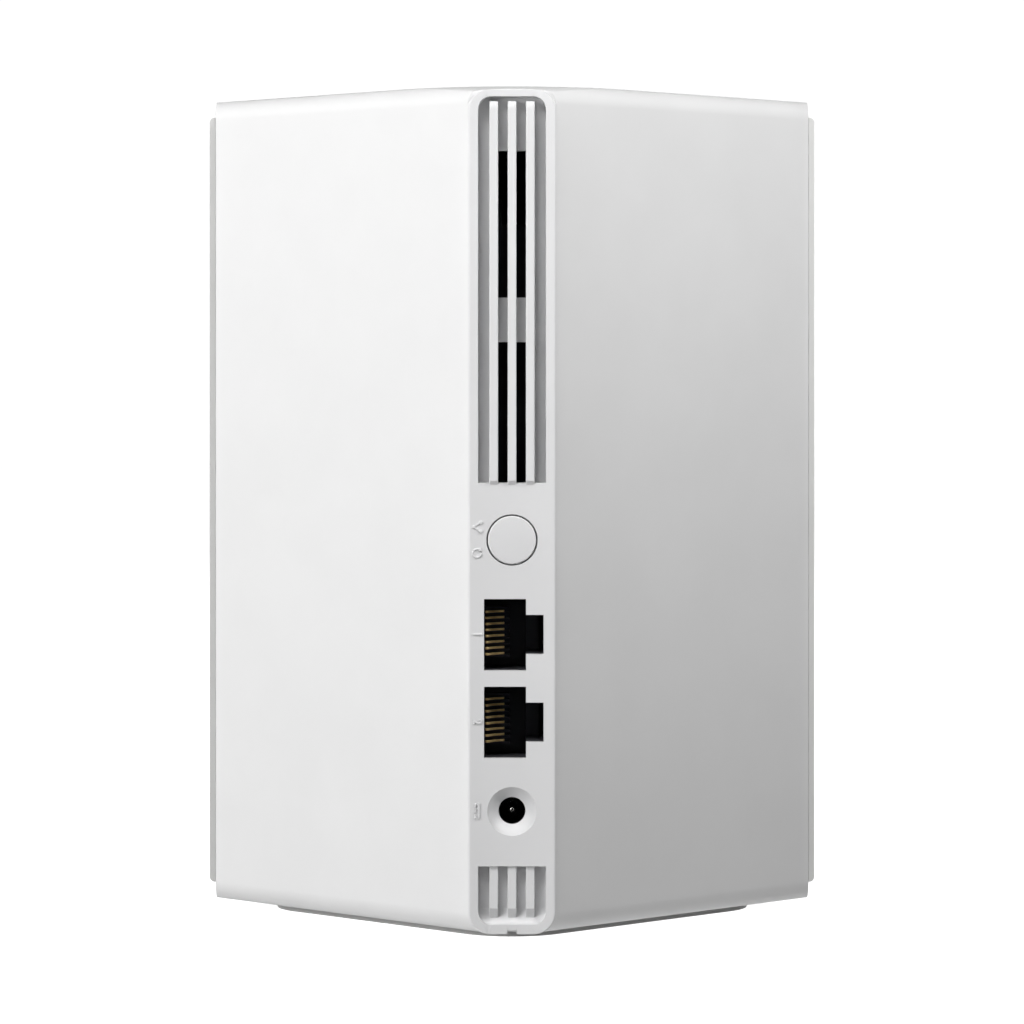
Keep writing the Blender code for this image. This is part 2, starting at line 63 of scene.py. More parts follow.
MM = 0.001
SQRT2 = math.sqrt(2.0)
GAP = 0.3                               # clearance that the CAD keeps between neighbours


def node_box(node):
    """Lowest and highest corner of a CAD node, in millimetres."""
    low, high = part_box(node)
    return Vector(low) / MM, Vector(high) / MM


def node_middle(node):
    low, high = node_box(node)
    return (low + high) / 2


# ------------------------------------------------------------------ sizes from the frame

SHELL_BOX = node_box("rear_shell")
PANEL_BOX = node_box("rear_io_panel")
PAD_BOX = node_box("foot_pad")

SEAT_GAP = 0.05                         # between a strip or bar and the flat that it lies on
CORNER_FLAT = -SHELL_BOX[0].y           # seat of the strips on the front and rear corners
SIDE_FLAT = SHELL_BOX[1].x              # seat of the bars on the side corners
TRIM_HALF_WIDTH = PANEL_BOX[1].x
FACE_REACH = CORNER_FLAT + TRIM_HALF_WIDTH      # |x| + |y| on each face
RIB_FACE = -PANEL_BOX[0].y
RIB_PROUD = 0.35                        # how far the upper ribs stand out past the strip's rims
TRIM_FLAT = RIB_FACE - RIB_PROUD        # rims of the rear strip
SHELL_LOW = SHELL_BOX[0].z
SHELL_HIGH = SHELL_BOX[1].z
BELOW_TOWER = -1.0                      # heights clear of the tower, for the cut between its halves
ABOVE_TOWER = 150.0
EDGE_ROUND = 3.5                        # rounding between the faces and the top and foot
CORNER_BLEND = 27.0                     # plan radius of the top at the front and rear corners
EDGE_STEPS = 14
ARC_STEPS = 36
WALL = 2.0                              # thickness of the casing
CAVITY_REACH = FACE_REACH - WALL * SQRT2
CAVITY_FLAT = 50.4                      # inner side of the cut-off corners
CAVITY_LOW = 4.1
CAVITY_HIGH = SHELL_HIGH - WALL
FLOOR_REACH = 52.0                      # opening in the foot, which the base cover closes
FLOOR_FLAT = 49.5

SLOT_HALF_WIDTH = 6.9                   # slot in the shells behind the front and rear strips
SLOT_LOW = SHELL_LOW - 0.15
SLOT_HIGH = 143.0
SLOT_CORNER = 3.3
PLUG_CORNER = SLOT_CORNER - GAP
PLUG_HALF_WIDTH = SLOT_HALF_WIDTH - GAP
PLUG_LOW = SHELL_LOW + GAP
STRIP_HIGH = PANEL_BOX[1].z
STRIP_TOP_CORNER = 3.5
STRIP_FOOT_CORNER = 3.8
STRIP_EDGE = 0.5                        # rounding along the outline of a strip
STRIP_DISH = 0.35                       # how hollow the strips' faces are across their width
FLAT_HALF_WIDTH = TRIM_HALF_WIDTH - STRIP_EDGE
STRIP_CORNER_STEPS = 14
STRIP_BACK = 51.9                       # back of the rear strip between its two vents
PLUG_DEPTHS = (50.2, 53.1)              # back and front of the plugs behind the strips
PLUG_SPLITS = (14.5, 76.5)              # heights where the rear strip's plugs meet
BAR_TONGUE = 1.2                        # half the thickness of the bars' tongues
BAR_TONGUE_END = 51.0
BAR_SLOT = (8.0, 138.0)
BAR_SLOT_FLOOR = 48.0
BAR_END_ROUND = 0.93
BAR_SIDE_ROUND = 0.6
OUTSIDE = 56.0                          # clear of the strips and bars, where most cuts start
BEHIND_STRIP = 50.0                     # behind the strips, where the cuts through them end

VENT_HALF_WIDTH = 5.7
VENT_CORNER = 2.2
UPPER_VENT = (77.6, 142.4)
LOWER_VENT = (3.5, 13.3)
UPPER_VENT_FLOOR = 50.9
LOWER_VENT_FLOOR = 51.4
VENT_FLOOR_THICKNESS = 1.2
VENT_WINDOWS = ((77.6, 101.2), (108.7, 133.4))
WINDOW_CUT = (48.0, 52.0)
RIB_PITCH = 3.06
RIB_WIDTH = 1.45
UPPER_RIB = (77.25, 141.6)              # heights of a rib's foot and top
UPPER_RIB_FOOT = (0.7, 0.7)             # depth and height of the slope at its foot
UPPER_RIB_ROUND = (0.8, 1.5)            # depth and height of the rounding at its top
LOWER_RIB = (4.5, 13.6)
LOWER_RIB_FOOT = (1.3, 1.7)
LOWER_RIB_ROUND = (0.1, 0.1)
LOWER_RIB_FACE = TRIM_FLAT - 0.7
COVE = (1.6, 2.4)                       # depth and height of the lower vent's curved foot
COVE_LIP = 0.75                         # from the strip's rim back to the front of that foot
PRY_NOTCH = (0.77, 52.5, 1.0, 2.6)      # half width, floor, lower and upper end

PORTS = ("ethernet_jack_1", "ethernet_jack_2")
PLUG_SPACE = (-4.7, 2.35, -6.1, 5.9)    # left, right, lower and upper side about a jack's middle
LATCH_SPACE = (5.3, -3.35, 3.25)        # right, lower and upper side
JACK_FLOOR = 41.0
LATCH_FLOOR = 42.0
LATCH_SLOT_FLOOR = 38.0                 # deep narrow slot beside the latch
POWER_BOX = node_box("dc_jack_body")
POWER_HEIGHT = node_middle("dc_jack_body").z
POWER_MOUTH = 4.15                      # radius of the bowl's rim
POWER_BORE = 2.25                       # radius of the hole in the strip
SOCKET_BORE = 2.3                       # radius of the socket's own bore behind it
BOWL_TURN = (12.0, 50.0)                # degrees from the axis, at the bowl's rim and at its foot
BUTTON_BOX = node_box("reset_button")
BUTTON_HEIGHT = node_middle("reset_switch_plunger").z
BUTTON_RADIUS = 4.05
BUTTON_RIM = 0.22                       # rounding of the button's rim
BUTTON_FLANGE = 5.2
BUTTON_FLANGE_BACK = 50.8
BUTTON_HOLE = 4.3
CONTACT_PITCH = 1.02
LED_HEIGHT = node_middle("light_pipe").z
LIGHT_HOLE = 1.7
LIGHT_GUIDE = 1.5
SYMBOL_COLUMN = -5.85                   # middle of the raised signs beside the sockets
SYMBOL_PROUD = 0.22
SYMBOL_ROOT = 0.2                       # how deep the signs reach into the strip
SIGN_SLOPE = 0.08
SIGN_OFFSET = 2.2                       # from the button's middle to the sign on either side
NUMERAL_HEIGHT = 1.5
NUMERAL_SLOPE = 0.06
FIGURE_HEIGHT = 0.73                    # height of the built-in font's figures at size 1
AXIS = 0.001                            # radius at which a turned profile starts and ends
NEAR = 0.01                             # points closer than this count as level
SMOOTH_ANGLE = 32.0                     # degrees between faces that still shade as one


# ------------------------------------------------------------------ materials

def new_material(name):
    material = bpy.data.materials.new(name)
    material.use_nodes = True
    nodes = material.node_tree.nodes
    return material, nodes, material.node_tree.links, nodes["Principled BSDF"]


def noise(nodes, links, period, detail=2.0, roughness=0.5, stretch=(1.0, 1.0, 1.0)):
    """Noise whose features are about `period` millimetres across."""
    place = nodes.new("ShaderNodeTexCoord")
    scale = nodes.new("ShaderNodeMapping")
    scale.inputs["Scale"].default_value = stretch
    texture = nodes.new("ShaderNodeTexNoise")
    texture.inputs["Scale"].default_value = 1.0 / (period * MM)
    texture.inputs["Detail"].default_value = detail
    texture.inputs["Roughness"].default_value = roughness
    links.new(place.outputs["Object"], scale.inputs["Vector"])
    links.new(scale.outputs["Vector"], texture.inputs["Vector"])
    return texture.outputs["Fac"]


def map_range(nodes, links, source, start, end, low, high):
    """Maps start..end to low..high, and holds low and high outside it."""
    mapping = nodes.new("ShaderNodeMapRange")
    mapping.inputs["From Min"].default_value = start
    mapping.inputs["From Max"].default_value = end
    mapping.inputs["To Min"].default_value = low
    mapping.inputs["To Max"].default_value = high
    links.new(source, mapping.inputs["Value"])
    return mapping.outputs["Result"]


def spread(nodes, links, source, low, high):
    """Maps a noise to values between low and high."""
    return map_range(nodes, links, source, 0.3, 0.7, low, high)


def two_tone(nodes, links, source, first, second):
    """Maps a noise to a colour between two."""
    ramp = nodes.new("ShaderNodeValToRGB")
    ramp.color_ramp.elements[0].position = 0.35
    ramp.color_ramp.elements[1].position = 0.65
    ramp.color_ramp.elements[0].color = (*first, 1.0)
    ramp.color_ramp.elements[1].color = (*second, 1.0)
    links.new(source, ramp.inputs["Fac"])
    return ramp.outputs["Color"]


def bump(nodes, links, *reliefs):
    """Chains bump maps, each given as its height socket and its depth in millimetres."""
    normal = None
    for height, depth in reliefs:
        node = nodes.new("ShaderNodeBump")
        node.inputs["Strength"].default_value = 1.0
        node.inputs["Distance"].default_value = depth * MM
        links.new(height, node.inputs["Height"])
        if normal:
            links.new(normal, node.inputs["Normal"])
        normal = node.outputs["Normal"]
    return normal


def tinted(colour, factor):
    return tuple(min(1.0, channel * factor) for channel in colour)


def moulded_plastic(name, colour, roughness, grain=0.12, grain_depth=0.002, mottle=0.01,
                    specular=0.5):
    """Spark-eroded moulded plastic: fine grain, slow changes of gloss and a faint mottling."""
    material, nodes, links, shader = new_material(name)
    shader.inputs["Specular IOR Level"].default_value = specular
    slow = noise(nodes, links, 14.0, detail=3.0)
    fine = noise(nodes, links, grain, detail=2.0, roughness=0.6)
    ripple = noise(nodes, links, 2.5, detail=1.0)
    mottled = two_tone(nodes, links, slow, tinted(colour, 1.0 - mottle), tinted(colour, 1.0 + mottle))
    links.new(mottled, shader.inputs["Base Color"])
    gloss = spread(nodes, links, slow, roughness - 0.03, roughness + 0.03)
    links.new(gloss, shader.inputs["Roughness"])
    relief = bump(nodes, links, (fine, grain_depth), (ripple, grain_depth * 0.6))
    links.new(relief, shader.inputs["Normal"])
    return material


def plated_metal(name, colour, roughness, streak=(1.0, 1.0, 1.0), period=0.3, metallic=1.0):
    """Metal with drawing or rolling marks along the axis whose streak factor is least."""
    material, nodes, links, shader = new_material(name)
    shader.inputs["Metallic"].default_value = metallic
    marks = noise(nodes, links, period, detail=3.0, stretch=streak)
    marked = two_tone(nodes, links, marks, tinted(colour, 0.88), tinted(colour, 1.06))
    links.new(marked, shader.inputs["Base Color"])
    gloss = spread(nodes, links, marks, roughness * 0.8, roughness * 1.3)
    links.new(gloss, shader.inputs["Roughness"])
    links.new(bump(nodes, links, (marks, 0.001)), shader.inputs["Normal"])
    return material


def circuit_laminate(name):
    """Green solder mask with copper tracks under it."""
    material, nodes, links, shader = new_material(name)
    place = nodes.new("ShaderNodeTexCoord")
    tracks = nodes.new("ShaderNodeTexBrick")
    tracks.inputs["Scale"].default_value = 180.0
    tracks.inputs["Mortar Size"].default_value = 0.012
    tracks.inputs["Color1"].default_value = (0.012, 0.085, 0.035, 1.0)
    tracks.inputs["Color2"].default_value = (0.016, 0.105, 0.045, 1.0)
    tracks.inputs["Mortar"].default_value = (0.03, 0.2, 0.08, 1.0)
    turn = nodes.new("ShaderNodeMapping")
    turn.inputs["Rotation"].default_value = (0.0, math.radians(90.0), 0.0)
    links.new(place.outputs["Object"], turn.inputs["Vector"])
    links.new(turn.outputs["Vector"], tracks.inputs["Vector"])
    links.new(tracks.outputs["Color"], shader.inputs["Base Color"])
    slow = noise(nodes, links, 6.0)
    links.new(spread(nodes, links, slow, 0.3, 0.42), shader.inputs["Roughness"])
    links.new(bump(nodes, links, (tracks.outputs["Fac"], -0.02)), shader.inputs["Normal"])
    return material


def clear_plastic(name):
    material, nodes, links, shader = new_material(name)
    shader.inputs["Transmission Weight"].default_value = 0.85
    shader.inputs["IOR"].default_value = 1.49
    haze = noise(nodes, links, 1.2, detail=2.0)
    tint = two_tone(nodes, links, haze, (0.82, 0.85, 0.88), (0.92, 0.94, 0.96))
    links.new(tint, shader.inputs["Base Color"])
    links.new(spread(nodes, links, haze, 0.12, 0.22), shader.inputs["Roughness"])
    return material


WHITE_SHELL = moulded_plastic("white_shell_plastic", (0.80, 0.80, 0.80), 0.48)
WHITE_STRIP = moulded_plastic("white_strip_plastic", (0.76, 0.76, 0.765), 0.40,
                              grain=0.10, grain_depth=0.0012)
GREY_TRIM = moulded_plastic("pale_grey_trim", (0.67, 0.67, 0.66), 0.36,
                            grain=0.10, grain_depth=0.0012)
PAD_RUBBER = moulded_plastic("grey_rubber", (0.72, 0.72, 0.71), 0.75,
                             grain=0.25, grain_depth=0.012, specular=0.3)
FRAME_PLASTIC = moulded_plastic("dark_frame_plastic", (0.010, 0.010, 0.011), 0.6,
                                grain=0.2, grain_depth=0.004)
SOCKET_PLASTIC = moulded_plastic("black_socket_plastic", (0.010, 0.010, 0.012), 0.38,
                                 grain=0.15, mottle=0.1)
JACK_PLASTIC = moulded_plastic("dark_jack_plastic", (0.062, 0.062, 0.072), 0.42,
                               grain=0.15, mottle=0.1)
CHIP_RESIN = moulded_plastic("chip_resin", (0.02, 0.02, 0.02), 0.5, grain=0.08, grain_depth=0.004)
THERMAL_GEL = moulded_plastic("thermal_gel", (0.30, 0.42, 0.55), 0.7, grain=0.4, grain_depth=0.01)
CABLE_SKIN = moulded_plastic("cable_skin", (0.03, 0.03, 0.03), 0.4, grain=0.3, grain_depth=0.004)
GOLD = plated_metal("gold_plating", (0.83, 0.60, 0.28), 0.42,
                    streak=(0.3, 0.3, 1.0), period=0.2, metallic=0.6)
STEEL = plated_metal("zinc_plated_steel", (0.60, 0.60, 0.62), 0.3, period=0.6)
PIN_NICKEL = plated_metal("nickel_pin", (0.78, 0.76, 0.72), 0.18, streak=(1.0, 0.2, 1.0))
ALUMINIUM = plated_metal("anodised_aluminium", (0.16, 0.16, 0.17), 0.42,
                         streak=(1.0, 1.0, 0.08), period=0.5)
LAMINATE = circuit_laminate("green_laminate")
CLEAR = clear_plastic("clear_plastic")
SLOT_FINISH = {
    "shell_white": WHITE_SHELL,
    "strip_white": WHITE_STRIP,
    "trim_grey": GREY_TRIM,
    "pad_rubber": PAD_RUBBER,
    "frame_plastic": FRAME_PLASTIC,
    "socket_black": SOCKET_PLASTIC,
    "contact_gold": GOLD,
    "steel": STEEL,
    "aluminium": ALUMINIUM,
    "laminate": LAMINATE,
    "chip_resin": CHIP_RESIN,
    "thermal_gel": THERMAL_GEL,
    "cable_skin": CABLE_SKIN,
    "clear_plastic": CLEAR,
}

for subpart in frame["record"]["subparts"]:
    node_object = frame["nodes"][subpart["node"]]
    node_object.data.materials.clear()
    node_object.data.materials.append(SLOT_FINISH[subpart["material_slot"]])


# ------------------------------------------------------------------ mesh tools

tools = bpy.data.collections.new("tools")
bpy.context.scene.collection.children.link(tools)


def bevel_edges(bm, direction, offset, segments, keep=None):
    """Rounds the edges that run along a direction and whose middle passes the test, if any."""
    direction = Vector(direction)
    chosen = []
    for edge in bm.edges:
        start, end = (vert.co for vert in edge.verts)
        aligned = (end - start).normalized().cross(direction).length < 0.01
        if aligned and (keep is None or keep((start + end) / 2)):
            chosen.append(edge)
    round_off(bm, chosen, offset, segments, clamp=False)


def round_off(bm, edges, offset, segments, clamp=True):
    bmesh.ops.bevel(bm, geom=edges, offset=offset, segments=segments, profile=0.5,
                    affect="EDGES", clamp_overlap=clamp)


def skin(bm, rings):
    """Joins rings of vertices in their order and closes both ends."""
    count = len(rings[0])
    for ring, following in zip(rings, rings[1:]):
        for i in range(count):
            j = (i + 1) % count
            bm.faces.new((ring[i], ring[j], following[j], following[i]))
    bm.faces.new(list(reversed(rings[0])))
    bm.faces.new(rings[-1])


def raw_object(name, bm):
    """A bmesh in millimetres as an object at the origin, in metres."""
    bmesh.ops.scale(bm, vec=(MM, MM, MM), verts=bm.verts)
    mesh = bpy.data.meshes.new(name)
    bm.to_mesh(mesh)
    bm.free()
    piece = bpy.data.objects.new(name, mesh)
    tools.objects.link(piece)
    return piece


def box_mesh(low, high, bevels=()):
    low, high = Vector(low), Vector(high)
    bm = bmesh.new()
    bmesh.ops.create_cube(bm, size=1.0)
    bmesh.ops.scale(bm, vec=high - low, verts=bm.verts)
    for bevel in bevels:
        bevel_edges(bm, *bevel)
    bmesh.ops.translate(bm, vec=(low + high) / 2, verts=bm.verts)
    return bm


def box(name, low, high, bevels=()):
    return raw_object(name, box_mesh(low, high, bevels))


def rod(name, start, end, radius, end_radius=None, steps=96):
    start, end = Vector(start), Vector(end)
    run = end - start
    bm = bmesh.new()
    bmesh.ops.create_cone(bm, cap_ends=True, segments=steps, radius1=radius,
                          radius2=radius if end_radius is None else end_radius, depth=run.length)
    bmesh.ops.rotate(bm, verts=bm.verts, cent=(0, 0, 0),
                     matrix=Vector((0, 0, 1)).rotation_difference(run).to_matrix())
    bmesh.ops.translate(bm, vec=(start + end) / 2, verts=bm.verts)
    return raw_object(name, bm)


def diamond(name, reach, corner, low, high, corner_steps=1):
    """An upright square on its corner, with its four upright edges cut off or rounded."""
    bm = bmesh.new()
    bmesh.ops.create_cone(bm, cap_ends=True, segments=4, radius1=reach, radius2=reach,
                          depth=high - low)
    bevel_edges(bm, (0, 0, 1), corner, corner_steps)
    bmesh.ops.translate(bm, vec=(0, 0, (low + high) / 2), verts=bm.verts)
    return raw_object(name, bm)


def cut_diamond(name, reach, flat, low, high):
    return diamond(name, reach, (reach - flat) * SQRT2, low, high)


def prism_mesh(outline, left, right):
    """A closed outline of (y, z) drawn out along x."""
    bm = bmesh.new()
    sides = []
    for x in (left, right):
        sides.append([bm.verts.new((x, y, z)) for y, z in outline])
    skin(bm, sides)
    bmesh.ops.recalc_face_normals(bm, faces=bm.faces)
    return bm


def turned(profile, steps=96):
    """A profile of (radius, y) turned about the line x = z = 0, closed at both ends."""
    bm = bmesh.new()
    rings = []
    for radius, depth in profile:
        ring = []
        for step in range(steps):
            angle = 2 * math.pi * step / steps
            ring.append(bm.verts.new((radius * math.cos(angle), depth, radius * math.sin(angle))))
        rings.append(ring)
    skin(bm, rings)
    bmesh.ops.recalc_face_normals(bm, faces=bm.faces)
    return bm


def combine(body, operation, *cutters):
    for cutter in cutters:
        modifier = body.modifiers.new(cutter.name, "BOOLEAN")
        modifier.operation = operation
        modifier.object = cutter
        modifier.solver = "EXACT"


def soften(body, width, segments=2, angle=35.0):
    """Rounds the sharp edges left by the cuts."""
    modifier = body.modifiers.new("soft_edges", "BEVEL")
    modifier.width = width * MM
    modifier.segments = segments
    modifier.limit_method = "ANGLE"
    modifier.angle_limit = math.radians(angle)
    modifier.use_clamp_overlap = True
    modifier.harden_normals = True


def baked(body):
    """The evaluated mesh of a body as its plain mesh, with its modifiers and cutters gone."""
    bpy.context.view_layer.update()
    graph = bpy.context.evaluated_depsgraph_get()
    mesh = bpy.data.meshes.new_from_object(body.evaluated_get(graph))
    cutters = [m.object for m in body.modifiers if m.type == "BOOLEAN"]
    body.modifiers.clear()
    body.data = mesh
    for cutter in cutters:
        bpy.data.objects.remove(cutter, do_unlink=True)


def finish_piece(piece, material, slot, *nodes, body="housing"):
    """Bakes a piece, gives it its finish, and fixes it to its body in place of its CAD nodes."""
    name = piece.name
    baked(piece)
    piece.data.name = name
    tools.objects.unlink(piece)
    bpy.context.scene.collection.objects.link(piece)
    piece.data.shade_smooth()
    piece.data.set_sharp_from_angle(angle=math.radians(SMOOTH_ANGLE))
    weighted = piece.modifiers.new("weighted_normals", "WEIGHTED_NORMAL")
    weighted.keep_sharp = True
    piece.data.materials.clear()
    piece.data.materials.append(material)
    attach(piece, body)
    if nodes:
        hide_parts(*nodes)


# ------------------------------------------------------------------ casing halves

def tower_outline(reach, blend):
    """A square on its corner, sharp at the left and right, round at the front and rear."""
    points = []
    for side in (1, -1):
        points.append((side * reach, 0.0))
        for step in range(ARC_STEPS + 1):
            angle = math.radians(45.0 + 90.0 * step / ARC_STEPS)
            points.append((side * blend * math.cos(angle),
                           side * (reach - blend * SQRT2 + blend * math.sin(angle))))
    return points


def tower_block(name):
    """The outer form before its corners are cut off, with the wide blend at the top."""
    least_blend = 1.0
    rings = []
    for step in range(EDGE_STEPS, -1, -1):
        turn = math.radians(90.0 * step / EDGE_STEPS)
        reach = FACE_REACH - EDGE_ROUND * (1 - math.cos(turn)) * SQRT2
        height = SHELL_LOW + EDGE_ROUND * (1 - math.sin(turn))
        rings.append((height, tower_outline(reach, least_blend)))
    for step in range(EDGE_STEPS + 1):
        turn = math.radians(90.0 * step / EDGE_STEPS)
        reach = FACE_REACH - EDGE_ROUND * (1 - math.cos(turn)) * SQRT2
        height = SHELL_HIGH - EDGE_ROUND * (1 - math.sin(turn))
        blend = least_blend + (CORNER_BLEND - least_blend) * math.sin(turn) ** 2
        rings.append((height, tower_outline(reach, blend)))
    bm = bmesh.new()
    levels = []
    for height, outline in rings:
        levels.append([bm.verts.new((x, y, height)) for x, y in outline])
    skin(bm, levels)
    return raw_object(name, bm)


def casing_half(name, node, side):
    """One half of the tower (-1 rear, 1 front), hollow, with its slots for the strip and bars."""
    body = tower_block(name)
    near, far = sorted((side * GAP / 2, side * CORNER_FLAT))
    limits = box(name + "_limits", (-SIDE_FLAT, near, BELOW_TOWER), (SIDE_FLAT, far, ABOVE_TOWER))
    combine(body, "INTERSECT", limits)
    slot_near, slot_far = sorted((side * 45.0, side * 60.0))
    half = BAR_TONGUE + GAP
    bar_low, bar_high = BAR_SLOT
    combine(
        body, "DIFFERENCE",
        cut_diamond(name + "_cavity", CAVITY_REACH, CAVITY_FLAT, CAVITY_LOW, CAVITY_HIGH),
        cut_diamond(name + "_floor_opening", FLOOR_REACH, FLOOR_FLAT, 0, CAVITY_LOW + 1),
        box(name + "_strip_slot", (-SLOT_HALF_WIDTH, slot_near, SLOT_LOW),
            (SLOT_HALF_WIDTH, slot_far, SLOT_HIGH), bevels=(((0, 1, 0), SLOT_CORNER, 8),)),
        box(name + "_left_bar_slot", (-OUTSIDE, -half, bar_low), (-BAR_SLOT_FLOOR, half, bar_high)),
        box(name + "_right_bar_slot", (BAR_SLOT_FLOOR, -half, bar_low), (OUTSIDE, half, bar_high)),
    )
    soften(body, 0.25, segments=3)
    finish_piece(body, WHITE_SHELL, "shell_white", node)


# ------------------------------------------------------------------ side bars

def trim_bar(name, node, side):
    """The bar on one side corner (-1 left, 1 right), with the tongue that holds it."""
    low, high = node_box(node)
    outer = high.x if side > 0 else low.x
    inner, outer = sorted((side * (SIDE_FLAT + SEAT_GAP), outer))

    def outward(middle):
        return middle.x * side > 0

    body = box(name, (inner, low.y, low.z), (outer, high.y, high.z),
               bevels=(((0, 1, 0), BAR_END_ROUND, 10, outward),
                       ((0, 0, 1), BAR_SIDE_ROUND, 8, outward)))
    near, far = sorted((side * (SIDE_FLAT + 0.4), side * BAR_TONGUE_END))
    tongue = box(name + "_tongue", (near, -BAR_TONGUE, BAR_SLOT[0] + GAP),
                 (far, BAR_TONGUE, BAR_SLOT[1] - GAP))
    combine(body, "UNION", tongue)
    finish_piece(body, GREY_TRIM, "trim_grey", node)


# ------------------------------------------------------------------ front and rear strips

def strip_plate(name, side, outer):
    """A long plate with round corners and a rounded outline; its callers hollow its face a little."""
    near, far = sorted((side * (CORNER_FLAT + SEAT_GAP), side * outer))
    low = Vector((-TRIM_HALF_WIDTH, near, SHELL_LOW))
    high = Vector((TRIM_HALF_WIDTH, far, STRIP_HIGH))
    bm = box_mesh(low, high)
    middle_z = (low.z + high.z) / 2
    bevel_edges(bm, (0, 1, 0), STRIP_TOP_CORNER, STRIP_CORNER_STEPS,
                lambda middle: middle.z > middle_z)
    bevel_edges(bm, (0, 1, 0), STRIP_FOOT_CORNER, STRIP_CORNER_STEPS,
                lambda middle: middle.z < low.z + NEAR)
    face_y = side * outer
    rim = [edge for edge in bm.edges
           if all(abs(vert.co.y - face_y) < NEAR for vert in edge.verts)]
    round_off(bm, rim, STRIP_EDGE, 6)
    return raw_object(name, bm)


def dish_depth(x):
    """How far a strip's face is hollowed at x."""
    return STRIP_DISH * (1 - (x / FLAT_HALF_WIDTH) ** 2)


def strip_face(x):
    """y of the rear strip's hollow face at x."""
    return -(TRIM_FLAT - dish_depth(x))


def dish_cutter(name, side, outer):
    """A shallow arc, as wide as the strip's flat face, that hollows it along its whole length."""
    half = FLAT_HALF_WIDTH
    steps = 24
    bm = bmesh.new()
    rows = []
    for height in (SHELL_LOW - 2, STRIP_HIGH + 2):
        row = []
        for step in range(steps + 1):
            x = half * (2 * step / steps - 1)
            row.append(bm.verts.new((x, side * (outer - dish_depth(x)), height)))
        row.append(bm.verts.new((half, side * (outer + 2), height)))
        row.append(bm.verts.new((-half, side * (outer + 2), height)))
        rows.append(row)
    skin(bm, rows)
    bmesh.ops.recalc_face_normals(bm, faces=bm.faces)
    return raw_object(name, bm)


def strip_plug(name, depths, low, high, rounded_ends):
    """A part that fills the slot in the shells, round at its foot (-1), its top (1) or both."""

    def at_rounded_end(middle):
        return any(middle.z * end > 0 for end in rounded_ends)

    return box(name, (-PLUG_HALF_WIDTH, depths[0], low), (PLUG_HALF_WIDTH, depths[1], high),
               bevels=(((0, 1, 0), PLUG_CORNER, 8, at_rounded_end),))


def vent_pocket(name, heights, floor, rounded_side):
    """A pocket with two round corners, at its top (1) or its foot (-1)."""
    low, high = heights
    return box(name, (-VENT_HALF_WIDTH, -OUTSIDE, low), (VENT_HALF_WIDTH, -floor, high),
               bevels=(((0, 1, 0), VENT_CORNER, 12, lambda middle: middle.z * rounded_side > 0),))


def lower_vent_cove():
    """The hollow curve that leads from the lower vent's floor out to its lower edge."""
    half = VENT_HALF_WIDTH + 0.3
    depth, height = COVE
    foot = LOWER_VENT[0]
    back, front = -LOWER_VENT_FLOOR + 0.5, -TRIM_FLAT + COVE_LIP
    outline = [(back, foot - 0.4), (front, foot - 0.4)]
    for step in range(9):
        turn = math.radians(90.0 * step / 8)
        outline.append((front + depth * math.sin(turn), foot + 0.1 + height * (1 - math.cos(turn))))
    outline.append((back, foot + 0.1 + height))
    return raw_object("lower_vent_cove", prism_mesh(outline, -half, half))


def power_bowl():
    """Cutter for the round hollow that leads to the power socket, steep at its rim."""
    first, last = math.radians(BOWL_TURN[0]), math.radians(BOWL_TURN[1])
    rim_y = strip_face(POWER_MOUTH)
    profile = [(AXIS, -OUTSIDE), (POWER_MOUTH, -OUTSIDE)]
    for step in range(11):
        turn = first + (last - first) * step / 10
        inward = (math.cos(first) - math.cos(turn)) / (math.cos(first) - math.cos(last))
        deeper = (math.sin(turn) - math.sin(first)) / (math.sin(last) - math.sin(first))
        profile.append((POWER_MOUTH + (POWER_BORE - POWER_MOUTH) * inward,
                        rim_y + (-STRIP_BACK - rim_y) * deeper))
    profile += [(POWER_BORE, -STRIP_BACK + 0.4), (AXIS, -STRIP_BACK + 0.4)]
    bm = turned(profile)
    bmesh.ops.translate(bm, vec=(0, 0, POWER_HEIGHT), verts=bm.verts)
    return raw_object("power_bowl", bm)


